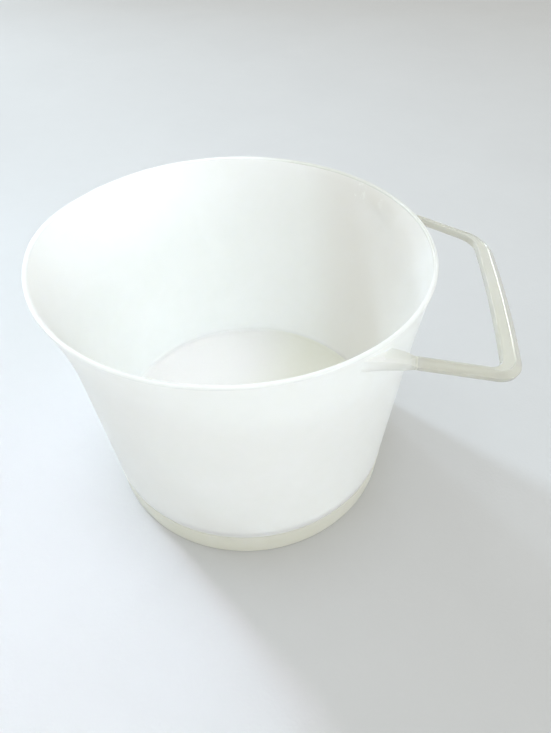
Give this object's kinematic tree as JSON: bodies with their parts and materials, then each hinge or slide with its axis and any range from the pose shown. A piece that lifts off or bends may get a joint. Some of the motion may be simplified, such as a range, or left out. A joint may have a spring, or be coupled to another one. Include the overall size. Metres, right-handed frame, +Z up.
{
  "type": "batter bowl",
  "caption": "Deep translucent batter bowl with a steep tapered wall, a broad pouring lip, a base ring and a closed loop handle standing out under the rim.",
  "frame": {"origin": "on the surface that the bowl stands on, under the middle of the whole part's box; the bowl's own axis is 14.0 mm towards -X from it", "axes": "+X from the bowl's axis towards the handle, -X towards the pouring lip, +Z up"},
  "size_m": [0.2156, 0.1744, 0.136],
  "materials": {
    "milky_plastic": "satin, translucent milky polypropylene",
    "ring_plastic": "satin, clearer and slightly yellow",
    "handle_plastic": "smooth, half clear and slightly yellow"
  },
  "bodies": {
    "root": {"bowl_shell": "milky_plastic", "base_ring": "ring_plastic", "handle_loop": "handle_plastic"}
  },
  "joints": []
}
